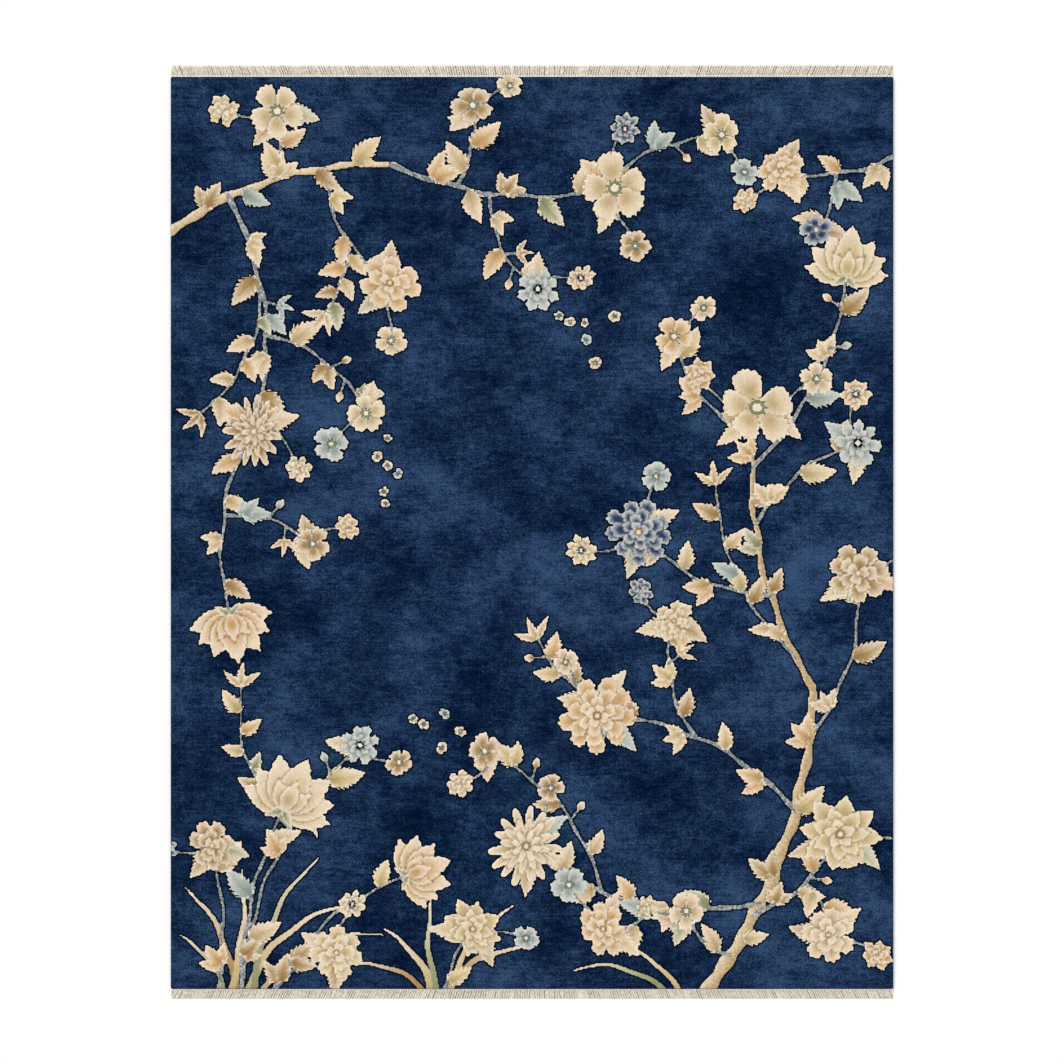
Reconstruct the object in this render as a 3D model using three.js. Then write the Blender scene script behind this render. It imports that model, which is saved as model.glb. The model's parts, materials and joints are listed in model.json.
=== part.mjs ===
// A hand-knotted pile rug, laid flat, with a cotton fringe at both ends.
// Millimetres, +Z up, +Y along the rug's length, origin under the middle of its outline.

import * as THREE from 'three';

// The knotted pile: a sheared slab whose upper edge is rounded where the tufts splay
const PILE_WIDTH = 2440;
const PILE_LENGTH = 3080;
const PILE_HEIGHT = 12;
const PILE_CORNER_RADIUS = 6;
const PILE_SHOULDER_RADIUS = 6;
const PILE_LEVELS = 6;
const CORNER_SEGMENTS = 4;

// How far the longest warp ends reach past the pile at each end
const NORTH_FRINGE = 39;
const SOUTH_FRINGE = 33;

// The woven web that holds the warp ends, parted from the pile
const PILE_GAP = 0.3;
const WEB_DEPTH = 5;
const WEB_HEIGHT = 3;

// The locks of warp ends, flat on the floor and fanned out from the middle of the rug
const LOCK_COUNT = 150;
const LOCK_ROOT_WIDTH = 13.4;
const LOCK_TIP_WIDTH = 11.6;
const LOCK_TIP_HEIGHT = 2;
const LOCK_SIDE_SLOPE = 1.1;
const FAN_REACH = 14;
const LENGTH_SCATTER = 4;
const TIP_SCATTER = 1.2;

// The dyed wool and the undyed cotton
const WOOL_COLOUR = '#1d3353';
const WOOL_ROUGHNESS = 0.95;
const COTTON_COLOUR = '#d3c9bc';
const COTTON_ROUGHNESS = 0.9;

// Irrational steps spread the locks' lengths and tips evenly and without a repeat
const LENGTH_STEP = (1 + Math.sqrt(5)) / 2;
const TIP_STEP = Math.SQRT2;

function scatter(index, step) {
  return (index * step) % 1;
}

function clothMaterial(name, colour, roughness) {
  return new THREE.MeshStandardMaterial({ name, color: colour, roughness, metalness: 0 });
}

// A rectangle with round corners, centred on the origin
function roundedRectangle(width, length, radius) {
  const right = width / 2;
  const far = length / 2;
  const shape = new THREE.Shape();
  shape.moveTo(-right + radius, -far);
  shape.absarc(right - radius, -far + radius, radius, -Math.PI / 2, 0);
  shape.absarc(right - radius, far - radius, radius, 0, Math.PI / 2);
  shape.absarc(-right + radius, far - radius, radius, Math.PI / 2, Math.PI);
  shape.absarc(-right + radius, -far + radius, radius, Math.PI, Math.PI * 1.5);
  return shape;
}

// How far the pile's wall has drawn in at a height, following a quarter circle
function shoulderInset(height) {
  const rise = Math.max(0, height - (PILE_HEIGHT - PILE_SHOULDER_RADIUS));
  return PILE_SHOULDER_RADIUS - Math.sqrt(PILE_SHOULDER_RADIUS ** 2 - rise ** 2);
}

function makePile() {
  const outline = roundedRectangle(PILE_WIDTH, PILE_LENGTH, PILE_CORNER_RADIUS);
  const geometry = new THREE.ExtrudeGeometry(outline, {
    depth: PILE_HEIGHT,
    steps: PILE_LEVELS,
    curveSegments: CORNER_SEGMENTS,
    bevelEnabled: false,
  });
  const points = geometry.attributes.position;
  for (let index = 0; index < points.count; index += 1) {
    const inset = shoulderInset(points.getZ(index));
    points.setX(index, points.getX(index) * (1 - inset / (PILE_WIDTH / 2)));
    points.setY(index, points.getY(index) * (1 - inset / (PILE_LENGTH / 2)));
  }
  geometry.computeVertexNormals();
  const pile = new THREE.Mesh(geometry, clothMaterial('wool', WOOL_COLOUR, WOOL_ROUGHNESS));
  pile.name = 'rug_pile';
  return pile;
}

// The places of one lock's four corners, with x along the web and y away from the pile
function lockCorners(index, reach) {
  const pitch = (PILE_WIDTH - 2 * FAN_REACH) / LOCK_COUNT;
  const rootX = (index + 0.5 - LOCK_COUNT / 2) * pitch;
  const lean = (rootX / (PILE_WIDTH / 2 - FAN_REACH)) * (FAN_REACH - TIP_SCATTER);
  const tipX = rootX + lean + (scatter(index, TIP_STEP) - 0.5) * 2 * TIP_SCATTER;
  const tipY = reach - LENGTH_SCATTER * scatter(index, LENGTH_STEP);
  return {
    rootLeft: new THREE.Vector2(rootX - LOCK_ROOT_WIDTH / 2, WEB_DEPTH),
    tipLeft: new THREE.Vector2(tipX - LOCK_TIP_WIDTH / 2, tipY),
    tipRight: new THREE.Vector2(tipX + LOCK_TIP_WIDTH / 2, tipY),
    rootRight: new THREE.Vector2(rootX + LOCK_ROOT_WIDTH / 2, WEB_DEPTH),
  };
}

// One end's fringe: a comb of locks on the web, tapered towards the tips.
// It is drawn with the web's inner edge on y = 0 and turned to its end of the rug.
function makeFringe(name, fringeLength) {
  const reach = fringeLength - PILE_GAP;
  const halfWidth = PILE_WIDTH / 2;
  const corners = [];
  for (let index = 0; index < LOCK_COUNT; index += 1) {
    corners.push(lockCorners(index, reach));
  }

  const outline = new THREE.Shape();
  outline.moveTo(halfWidth, 0);
  outline.lineTo(halfWidth, WEB_DEPTH);
  for (const lock of corners.toReversed()) {
    outline.lineTo(lock.rootRight.x, lock.rootRight.y);
    outline.lineTo(lock.tipRight.x, lock.tipRight.y);
    outline.lineTo(lock.tipLeft.x, lock.tipLeft.y);
    outline.lineTo(lock.rootLeft.x, lock.rootLeft.y);
  }
  outline.lineTo(-halfWidth, WEB_DEPTH);
  outline.lineTo(-halfWidth, 0);

  const geometry = new THREE.ExtrudeGeometry(outline, { depth: WEB_HEIGHT, bevelEnabled: false });
  narrowTops(geometry, corners);
  geometry.computeVertexNormals();
  const fringe = new THREE.Mesh(geometry, clothMaterial('cotton', COTTON_COLOUR, COTTON_ROUGHNESS));
  fringe.name = name;
  return fringe;
}

// Draws each lock's upper tip corners down and towards its middle, so that its sides slope
function narrowTops(geometry, corners) {
  const points = geometry.attributes.position;
  const inward = new Map();
  const key = (x, y) => `${x.toFixed(2)} ${y.toFixed(2)}`;
  for (const lock of corners) {
    inward.set(key(lock.tipLeft.x, lock.tipLeft.y), LOCK_SIDE_SLOPE);
    inward.set(key(lock.tipRight.x, lock.tipRight.y), -LOCK_SIDE_SLOPE);
  }
  for (let index = 0; index < points.count; index += 1) {
    const shift = inward.get(key(points.getX(index), points.getY(index)));
    if (points.getZ(index) > 0 && shift !== undefined) {
      points.setX(index, points.getX(index) + shift);
      points.setZ(index, LOCK_TIP_HEIGHT);
    }
  }
}

const totalLength = SOUTH_FRINGE + PILE_LENGTH + NORTH_FRINGE;
const northEdge = totalLength / 2 - NORTH_FRINGE;
const southEdge = -totalLength / 2 + SOUTH_FRINGE;

const pile = makePile();
pile.position.y = (northEdge + southEdge) / 2;

const fringeNorth = makeFringe('fringe_north', NORTH_FRINGE);
fringeNorth.position.y = northEdge + PILE_GAP;

const fringeSouth = makeFringe('fringe_south', SOUTH_FRINGE);
fringeSouth.rotation.z = Math.PI;
fringeSouth.position.y = southEdge - PILE_GAP;

const rug = new THREE.Group();
rug.name = 'hand_knotted_rug';
rug.add(pile, fringeNorth, fringeSouth);

export default rug;
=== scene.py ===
"""A hand-knotted wool rug with a cotton fringe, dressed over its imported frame.

The pile is charted as a grid of knots. Flowering sprays are worked out on the chart from
formulas and short tables, and are knotted as low carved reliefs into a plain field.
Metres, +Z up, +Y along the rug.
"""

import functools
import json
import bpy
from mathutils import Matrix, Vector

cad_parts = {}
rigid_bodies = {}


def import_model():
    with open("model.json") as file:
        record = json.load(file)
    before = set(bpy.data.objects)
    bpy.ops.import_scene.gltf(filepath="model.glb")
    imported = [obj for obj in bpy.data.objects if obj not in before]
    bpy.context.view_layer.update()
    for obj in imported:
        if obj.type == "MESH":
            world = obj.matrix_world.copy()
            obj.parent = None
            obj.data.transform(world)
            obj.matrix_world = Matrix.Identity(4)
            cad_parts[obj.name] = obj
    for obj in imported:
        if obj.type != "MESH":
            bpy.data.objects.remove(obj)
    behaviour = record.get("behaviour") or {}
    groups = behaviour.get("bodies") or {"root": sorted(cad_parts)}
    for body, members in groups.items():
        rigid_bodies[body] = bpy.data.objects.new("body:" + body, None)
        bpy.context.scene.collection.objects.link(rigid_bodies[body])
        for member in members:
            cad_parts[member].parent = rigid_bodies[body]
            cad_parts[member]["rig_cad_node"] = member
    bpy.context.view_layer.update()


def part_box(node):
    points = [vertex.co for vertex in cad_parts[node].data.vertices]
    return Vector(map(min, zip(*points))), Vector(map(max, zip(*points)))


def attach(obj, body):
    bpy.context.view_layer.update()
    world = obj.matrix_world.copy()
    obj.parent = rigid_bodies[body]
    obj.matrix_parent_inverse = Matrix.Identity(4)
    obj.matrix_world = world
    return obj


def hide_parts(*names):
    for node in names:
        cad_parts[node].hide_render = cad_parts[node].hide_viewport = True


bl_info = {
    "name": "Hand-Knotted Rug",
    "version": (1, 0, 0),
    "blender": (4, 5, 0),
    "location": "View3D > Sidebar > Rug",
    "description": "Knots the field, the sprays and the fringe of a rug, and sets a plain stage for it",
    "category": "Add Mesh",
}

from collections import namedtuple
from math import atan2, cos, hypot, pi, radians, sin, tau

import bpy
import numpy as np
from bpy.props import FloatProperty, FloatVectorProperty, IntProperty, PointerProperty
from bpy.types import Operator, Panel, PropertyGroup
from mathutils import Color

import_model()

PILE_LOW, PILE_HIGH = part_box("rug_pile")
PILE_WIDTH = PILE_HIGH.x - PILE_LOW.x
PILE_LENGTH = PILE_HIGH.y - PILE_LOW.y
MOST_TRIANGLES = 200_000

# Keeps a division away from nought
TINY = 1e-6

# What a knot is part of. The order is the order in which one covers another.
FIELD, BRANCH, LEAF, BLOSSOM, FLOWER = range(5)
FAMILIES = (BRANCH, LEAF, BLOSSOM, FLOWER)


# Sizes and colours that a user would change

SCREEN_STEPS = 255


def dyed(screen):
    """The linear colour of a yarn whose screen colour is given in whole steps"""
    return tuple(Color([step / SCREEN_STEPS for step in screen]).from_srgb_to_scene_linear())


def length_property(name, description, default):
    return FloatProperty(
        name=name, description=description, default=default, min=0, precision=5, unit="LENGTH"
    )


def dye_property(name, description, colour):
    return FloatVectorProperty(
        name=name, description=description, default=dyed(colour), min=0, max=1, subtype="COLOR"
    )


class RugSizes(PropertyGroup):
    """Sizes of the pile, of its carving and of the fringe"""

    knot: length_property("Knot", "Spacing of the pile knots", 0.00436)
    field_height: length_property("Field height", "Height of the plain field above the floor", 0.0110)
    shoulder: length_property("Shoulder", "Radius of the pile's rounded upper edge", 0.006)
    carving: length_property("Carving", "How far the fullest motif stands above the field", 0.0014)
    swell: length_property("Swell", "How far the field rises and falls by itself", 0.0002)
    strand: length_property("Strand", "Thickness of one twisted strand of the fringe", 0.0029)
    web_depth: length_property("Web depth", "Depth of the flat woven web that holds the fringe", 0.005)
    web_height: length_property("Web height", "Thickness of the woven web", 0.0035)
    fan: length_property("Fan", "How far the strands lean out", 0.014)
    locks: IntProperty(name="Locks", description="Locks of strands at each end", default=150, min=1)
    lock_strands: IntProperty(name="Lock strands", description="Strands in each lock", default=6, min=1)


class RugDyes(PropertyGroup):
    """Colours of the wool and the cotton"""

    field_deep: dye_property("Field deep", "Darkest patches of the field", (0, 12, 38))
    field_middle: dye_property("Field middle", "Most of the field", (17, 37, 66))
    # The palest field colour is also the painted highlight on the knot crowns of the underside
    field_worn: dye_property("Field worn", "Palest patches of the field", (54, 79, 114))
    ivory: dye_property("Ivory", "Most flowers, leaves and trunks", (199, 176, 137))
    straw: dye_property("Straw", "Yellow flowers and leaves", (197, 175, 128))
    gold: dye_property("Gold", "Darker leaves and flowers", (168, 138, 92))
    peach: dye_property("Peach", "Warm flowers and leaves", (198, 163, 116))
    blue: dye_property("Blue", "A few flowers", (44, 62, 95))
    sage: dye_property("Sage", "Calyxes and a few leaves", (150, 152, 116))
    powder: dye_property("Powder", "A few pale leaves and flowers", (153, 162, 153))
    bark: dye_property("Bark", "Stems and twigs", (119, 132, 138))
    # Night is a real dye in the dark hearts, and also the painted shade of the carved groove round every
    # motif
    night: dye_property("Night", "Carved outlines and dark hearts", (10, 17, 32))
    cream: dye_property("Cream", "What warm rims are paled with", (238, 224, 205))
    frost: dye_property("Frost", "What cool rims are paled with", (213, 214, 207))
    cotton: dye_property("Cotton", "The fringe and its web", (238, 229, 216))
    floor: dye_property("Floor", "The pale floor", (247, 247, 246))


DYES = ("ivory", "straw", "gold", "peach", "blue", "sage", "powder", "bark", "night")
COOL_DYES = ("blue", "powder")

# How a dye is darkened towards the seams and paled towards the rims
Shade = namedtuple("Shade", "tone strength pale")
SHADES = (
    Shade(tone=0.00, strength=0.36, pale=0.00),
    Shade(tone=0.20, strength=0.72, pale=0.00),
    Shade(tone=0.48, strength=1.00, pale=0.00),
    Shade(tone=0.76, strength=1.00, pale=0.45),
    Shade(tone=1.00, strength=1.00, pale=0.85),
)
SEAM_TONE = 0.12
DEEP_TONE = 0.2
BODY_TONE = 0.48
RIM_TONE = 1.0
DARKENING_WARMTH = 0.25
SPECKLE_STRENGTH = 0.16


# The knot chart

Patch = namedtuple("Patch", "rows columns east north")
Yarn = namedtuple("Yarn", "family dye")


class Chart:
    """The pile's knots, by rows from the south: each one's family, dye, tone and relief"""

    SEED = 11

    def __init__(self, low, high, knot):
        columns = round((high.x - low.x) / knot)
        rows = round((high.y - low.y) / knot)
        self.knot = knot
        self.east_edges = np.linspace(low.x, high.x, columns + 1)
        self.north_edges = np.linspace(low.y, high.y, rows + 1)
        self.east = (self.east_edges[1:] + self.east_edges[:-1]) / 2
        self.north = (self.north_edges[1:] + self.north_edges[:-1]) / 2
        self.family = np.full((rows, columns), FIELD, np.int8)
        self.dye = np.zeros((rows, columns), np.int8)
        self.tone = np.zeros((rows, columns))
        self.relief = np.zeros((rows, columns))
        self.chance = np.random.default_rng(self.SEED)
        self.speckle = self.chance.random((rows, columns))

    def patch(self, centre, reach):
        """The knots around a point, with how far east and north of it each one lies"""
        east, north = centre
        columns = slice(*np.searchsorted(self.east, (east - reach, east + reach)))
        rows = slice(*np.searchsorted(self.north, (north - reach, north + reach)))
        return Patch(rows, columns, self.east[None, columns] - east, self.north[rows, None] - north)

    def tie(self, patch, inside, yarn, tone, relief):
        """Ties the knots of a patch that lie inside a shape"""
        at = patch.rows, patch.columns
        self.family[at][inside] = yarn.family
        self.dye[at][inside] = DYES.index(yarn.dye)
        self.tone[at][inside] = np.broadcast_to(tone, inside.shape)[inside]
        self.relief[at][inside] = np.broadcast_to(relief, inside.shape)[inside]

    def jitter(self, size):
        """A chance number within half of size on either side of nought"""
        return size * (self.chance.random() - 0.5)


def grown(mask):
    """The mask with the knots that touch it, at a side or a corner"""
    rows, columns = mask.shape
    padded = np.pad(mask, 1)
    result = np.zeros_like(mask)
    for up in range(3):
        for along in range(3):
            result |= padded[up:up + rows, along:along + columns]
    return result


OUTLINE_RELIEF = 0.24
EDGE_RELIEF = 0.20
HEMMING_SIDES = 3


def fill_pinholes(chart):
    """Ties a bare knot hemmed in on three sides or more like the knot to its west"""
    motif = np.pad(chart.family != FIELD, 1)
    west = motif[1:-1, :-2]
    hemmed = west.astype(int) + motif[1:-1, 2:] + motif[:-2, 1:-1] + motif[2:, 1:-1]
    row, column = np.nonzero(~motif[1:-1, 1:-1] & west & (hemmed >= HEMMING_SIDES))
    for layer in (chart.family, chart.dye, chart.tone, chart.relief):
        layer[row, column] = layer[row, column - 1]


def tie_groove_shade(chart):
    """Ties a ring of knots round every motif, dark with painted shade of the carved groove, but not on the
    pile's outermost knots
    """
    chart.motif = chart.family != FIELD
    bare = ~chart.motif
    bare[[0, -1]] = False
    bare[:, [0, -1]] = False
    for family in reversed(FAMILIES):
        ring = grown(chart.motif & (chart.family == family)) & bare
        chart.family[ring] = family
        # Painted shade: the night dye stands in for the shadow in the groove carved round the motif
        chart.dye[ring] = DYES.index("night")
        chart.tone[ring] = BODY_TONE
        chart.relief[ring] = OUTLINE_RELIEF
        bare &= ~ring


# Weights of the four knots along a line that passes through a lattice corner
BLUR = np.array((1, 3, 3, 1)) / 8
RISE = np.array((-1, -1, 1, 1)) / 4
NEXT = np.array((0, 1, 1, 0))
EDGE_STEEPNESS = 0.375
SMOOTHING = 0.45
MOST_DRAWN = 0.34
KNOT_JITTER = 0.22


def corner_sums(mask, up, along):
    """At every lattice corner, the weighed sum of the sixteen knots round it"""
    rows, columns = mask.shape
    padded = np.pad(mask.astype(float), 2, mode="edge")
    total = np.zeros((rows + 1, columns + 1))
    for row in range(4):
        for column in range(4):
            total += up[row] * along[column] * padded[row:row + rows + 1, column:column + columns + 1]
    return total


def drawn_corners(chart):
    """How far east and north each lattice corner is drawn, so that stepped outlines run smoothly"""
    aside = np.zeros((2, len(chart.north_edges), len(chart.east_edges)))
    for mask in (chart.family != FIELD, chart.motif):
        level = corner_sums(mask, BLUR, BLUR)
        inward = np.stack((corner_sums(mask, BLUR, RISE), corner_sums(mask, RISE, BLUR)))
        inward /= np.maximum(np.hypot(*inward), TINY)
        distance = np.clip(SMOOTHING * (0.5 - level) / EDGE_STEEPNESS, -MOST_DRAWN, MOST_DRAWN)
        around = corner_sums(mask, NEXT, NEXT)
        aside = np.where((around > 0) & (around < 4), inward * distance, aside)
    return chart.knot * (aside + KNOT_JITTER * (chart.chance.random(aside.shape) - 0.5))


def turned(east, north, turn):
    """How far along a heading, and how far to its left, a point lies"""
    return east * cos(turn) + north * sin(turn), north * cos(turn) - east * sin(turn)


def lit(light):
    """The tone from a dye's deep shade, at 0, to its rim, at 1"""
    return DEEP_TONE + (RIM_TONE - DEEP_TONE) * np.clip(light, 0, 1)


def spanned(share, across, half):
    """How deep inside a shape's sides each knot lies, whether it is inside, and how far aside it lies"""
    half = np.maximum(half, TINY)
    edge = half - np.abs(across)
    inside = (share > 0) & (share < 1) & (edge > 0)
    return edge, inside, np.clip(np.abs(across) / half, 0, 1)


# Flowers: rings of petals, the outer one first

def blunt(swell, closing):
    """How a petal's width runs along its length, up to a blunt tip"""
    return lambda share: share ** swell * np.sqrt(1 - share ** closing)


def pointed(swell):
    """How a petal's width runs along its length, up to a pointed tip"""
    return lambda share: np.sin(pi * share ** swell) ** swell


round_tip = blunt(swell=0.6, closing=6)
slim_tip = blunt(swell=0.35, closing=4)
pointed_tip = pointed(swell=0.8)


# Sizes are shares of the flower's radius, and offset is a share of a petal's step.
# Shade is how far along its petals a ring is deepest, and teeth how fully their edges are notched.
Ring = namedtuple("Ring", "petals inner outer width offset tip shade teeth")
FLOWERS = {
    "mallow": (Ring(5, 0.04, 1.00, 1.06, 0.0, round_tip, 0.42, 1.0),),
    "peony": (
        Ring(9, 0.25, 1.00, 0.62, 0.0, round_tip, 0.58, 1.0),
        Ring(7, 0.14, 0.76, 0.56, 0.5, round_tip, 0.54, 0.7),
        Ring(6, 0.06, 0.52, 0.44, 0.2, round_tip, 0.42, 0.5),
        Ring(4, 0.00, 0.28, 0.34, 0.6, round_tip, 0.20, 0.0),
    ),
    "aster": (
        Ring(15, 0.16, 1.00, 0.27, 0.0, slim_tip, 0.45, 0.0),
        Ring(12, 0.10, 0.70, 0.23, 0.4, slim_tip, 0.40, 0.0),
        Ring(8, 0.04, 0.42, 0.20, 0.1, slim_tip, 0.10, 0.0),
    ),
    "rose": (
        Ring(7, 0.12, 1.00, 0.80, 0.0, round_tip, 0.50, 1.0),
        Ring(5, 0.04, 0.66, 0.68, 0.5, round_tip, 0.42, 0.6),
        Ring(3, 0.00, 0.34, 0.46, 0.2, round_tip, 0.20, 0.0),
    ),
    "plum": (Ring(5, 0.05, 1.00, 1.14, 0.0, round_tip, 0.40, 0.9),),
    "daisy": (
        Ring(8, 0.15, 1.00, 0.66, 0.0, round_tip, 0.35, 0.8),
        Ring(8, 0.10, 0.58, 0.36, 0.5, pointed_tip, 0.20, 0.0),
    ),
    "star": (
        Ring(8, 0.10, 1.00, 0.56, 0.0, pointed_tip, 0.50, 0.5),
        Ring(7, 0.05, 0.70, 0.42, 0.5, pointed_tip, 0.42, 0.3),
        Ring(5, 0.00, 0.40, 0.30, 0.2, pointed_tip, 0.20, 0.0),
    ),
}
EYED_FLOWERS = ("daisy", "plum", "mallow")
LARGE_FLOWER = 0.15

# How a flower is flattened, and along which heading
Squash = namedtuple("Squash", "flat heading")
UNSQUASHED = Squash(1.0, 0.0)
MOST_SQUASH = 0.2
PETAL_TURN_JITTER = 0.25
PETAL_REACH_JITTER = 0.12
SHADE_SPREAD = 0.30
RIM_KNOTS = 1.1
RIM_FROM = 0.3
PETAL_MARGIN = 1.3
PETAL_LIGHT = 0.84
PETAL_SHADING = 0.68
PETAL_CROWN = 0.45
NOTCH_PITCH = 0.020
NOTCH_DEPTH = 0.010
NOTCH_SHARE = 0.14


def notch(distance, radius):
    """How far the edge of a flower's petal draws in between its rounded teeth"""
    deepest = min(NOTCH_DEPTH, NOTCH_SHARE * radius)
    return deepest * (1 - np.abs(np.cos(pi * distance / NOTCH_PITCH)))


def tie_petal(chart, centre, turn, ring, radius, yarn, squash=UNSQUASHED):
    """One petal: softly shaded, pale at its toothed rim, with a seam where it covers another"""
    inner = ring.inner * radius
    length = ring.outer * radius - inner
    width = ring.width * radius
    patch = chart.patch(centre, radius * PETAL_MARGIN)
    far, wide = turned(patch.east, patch.north, squash.heading)
    along, across = turned(far / squash.flat, wide, turn - squash.heading)
    share = (along - inner) / (length - ring.teeth * notch(across, radius))
    reached = np.clip(share, 0, 1)
    half = width / 2 * ring.tip(reached) - ring.teeth * reached * notch(along, radius)
    edge, inside, side = spanned(share, across, half)

    near = (share > 0) & (share < 1 + chart.knot / length) & (edge > -chart.knot)
    covered = chart.family[patch.rows, patch.columns] == yarn.family
    chart.tie(patch, near & ~inside & covered, yarn, SEAM_TONE, EDGE_RELIEF)

    shaded = np.exp(-((reached - ring.shade) / SHADE_SPREAD) ** 2) * (1 - side ** 2)
    rim = (edge < RIM_KNOTS * chart.knot) | ((1 - share) * length < RIM_KNOTS * chart.knot)
    light = np.where(rim & (share > RIM_FROM), 1, PETAL_LIGHT - PETAL_SHADING * shaded)
    chart.tie(patch, inside, yarn, lit(light), 1 - PETAL_CROWN * side ** 2)


DISC_RELIEF = 0.8


def tie_disc(chart, centre, radius, yarn, tone, relief=DISC_RELIEF):
    patch = chart.patch(centre, radius + chart.knot)
    chart.tie(patch, np.hypot(patch.east, patch.north) < radius, yarn, tone, relief)


def moved(point, way, distance):
    return point[0] + distance * cos(way), point[1] + distance * sin(way)


# Sizes of what lies in a flower's heart, as shares of its radius
PIT_SHARE = 0.20
EYE_SHARE = 0.11
HEART_SHARE = 0.12
HEART_TIP_SHARE = 0.06
DOT_RING_SHARE = 0.24
HEART_DOTS = 9
DOT_KNOTS = 0.8


def tie_flower(chart, centre, form, size, turn, yarn):
    """A full-faced flower with uneven petals round its heart"""
    radius = size / 2
    squash = Squash(1 - MOST_SQUASH * chart.chance.random(), tau * chart.chance.random())
    for ring in FLOWERS[form]:
        for petal in range(ring.petals):
            step = petal + ring.offset + chart.jitter(PETAL_TURN_JITTER)
            reach = radius * (1 + chart.jitter(PETAL_REACH_JITTER))
            tie_petal(chart, centre, turn + tau * step / ring.petals, ring, reach, yarn, squash)
    heart = Yarn(yarn.family, "ivory" if yarn.dye == "gold" else "gold")
    if form in EYED_FLOWERS:
        pit = Yarn(yarn.family, "night" if form == "daisy" else "sage")
        tie_disc(chart, centre, radius * PIT_SHARE, pit, DEEP_TONE, EDGE_RELIEF)
        tie_disc(chart, centre, radius * EYE_SHARE, heart, RIM_TONE)
        for dot in range(HEART_DOTS):
            place = moved(centre, turn + tau * (dot + 0.5) / HEART_DOTS, radius * DOT_RING_SHARE)
            tie_disc(chart, place, chart.knot * DOT_KNOTS, Yarn(yarn.family, "bark"), DEEP_TONE)
    else:
        tie_disc(chart, centre, radius * HEART_SHARE, heart, DEEP_TONE)
        tie_disc(chart, centre, radius * HEART_TIP_SHARE, heart, RIM_TONE)


CUP_PETAL = Ring(1, 0.0, 1.0, 0.52, 0.0, pointed_tip, 0.34, 0.6)
CUP_OUTER_SPREADS = (1.45, -1.40, 1.00, -1.00, 0.52, -0.55, 0.00)
CUP_INNER_SPREADS = (0.6, -0.6, 0.0)
CUP_INNER_SHARE = 0.55
CUP_REACH = 0.72
CUP_SIDE_SHORTENING = 0.12
CUP_JITTER = 0.08
SEPAL_SPREAD = 2.26
SEPAL_LENGTH = 0.24
SEPAL_WIDTH = 0.12


def tie_cup(chart, base, size, turn, yarn):
    """A cupped flower seen from the side, on a pair of sepals"""
    radius = size * CUP_REACH
    for spread in CUP_OUTER_SPREADS:
        reach = radius * (1 - CUP_SIDE_SHORTENING * abs(spread) + chart.jitter(CUP_JITTER))
        tie_petal(chart, base, turn + spread, CUP_PETAL, reach, yarn)
    for spread in CUP_INNER_SPREADS:
        tie_petal(chart, base, turn + spread, CUP_PETAL, radius * CUP_INNER_SHARE, yarn)
    sepal = Yarn(yarn.family, "sage")
    for side in (-1, 1):
        away = turn + side * SEPAL_SPREAD
        tie_leaf(chart, base, away, size * SEPAL_LENGTH, size * SEPAL_WIDTH, sepal)


# Leaves, blades and stems

# A leaf's outline: how soon it is widest, how full it is, and how its teeth are cut
LEAF_MARGIN = 1.15
LEAF_SWELL = 0.62
LEAF_FULLNESS = 0.85
LEAF_TOOTH = 0.017
TOOTH_SLANT = 0.45
TOOTH_ROOT = 0.60
TOOTH_HEIGHT = 0.52

# A leaf's light: what it has all over, and what it gains or loses here and there
LEAF_LIGHT = 0.42
LEAF_TIP_GAIN = 0.30
LEAF_SIDE_GAIN = 0.26
LEAF_ROOT_LOSS = 0.40
LEAF_ROOT_REACH = 0.4
LEAF_HALF_GAIN = 0.07
LEAF_RIM_LIGHT = 0.95
MIDRIB_LOSS = 0.2
MIDRIB_REACH = 0.7
MIDRIB_KNOTS = 0.6
LEAF_EDGE_RELIEF = 0.5
LEAF_CROWN_SHARE = 1 / 3

SPRIG_SPREADS = (0.9, -0.9, 0.0)
SPRIG_SLIMNESS = 0.34
SPRIG_CURL = 0.1


def tie_leaf(chart, root, turn, length, width, yarn, curl=0):
    """A broad toothed leaf, deep at its root and pale at its rim"""
    patch = chart.patch(root, length * LEAF_MARGIN)
    along, across = turned(patch.east, patch.north, turn)
    share = along / length
    reached = np.clip(share, 0, 1)
    across = across - 2 * curl * length * reached * (1 - reached)
    slope = np.abs(across) / length
    tooth = (reached - TOOTH_SLANT * slope) * round(length / LEAF_TOOTH) % 1
    full = np.sin(pi * reached ** LEAF_SWELL) ** LEAF_FULLNESS
    edge, inside, side = spanned(share, across, width / 2 * full * (TOOTH_ROOT + TOOTH_HEIGHT * tooth))
    light = LEAF_LIGHT + LEAF_TIP_GAIN * reached + LEAF_SIDE_GAIN * side ** 2
    light -= LEAF_ROOT_LOSS * np.exp(-(reached / LEAF_ROOT_REACH) ** 2)
    light += LEAF_HALF_GAIN * np.sign(across)
    light -= MIDRIB_LOSS * ((np.abs(across) < MIDRIB_KNOTS * chart.knot) & (share < MIDRIB_REACH))
    light = np.where(edge < chart.knot, LEAF_RIM_LIGHT, light)
    crown = np.clip(edge / (width * LEAF_CROWN_SHARE), 0, 1)
    chart.tie(patch, inside, yarn, lit(light), LEAF_EDGE_RELIEF + (1 - LEAF_EDGE_RELIEF) * crown)


def tie_sprig(chart, root, turn, length, yarn):
    """Slim pointed leaves, fanned out at a stalk's end"""
    for spread in SPRIG_SPREADS:
        tie_leaf(chart, root, turn + spread, length, length * SPRIG_SLIMNESS, yarn, SPRIG_CURL)


STEM_WAVER = 0.006
STEM_WAVER_RATE = 28
STEM_WAVER_START = 9
STEM_STEPS = 100
END_STEPS = 10


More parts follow.
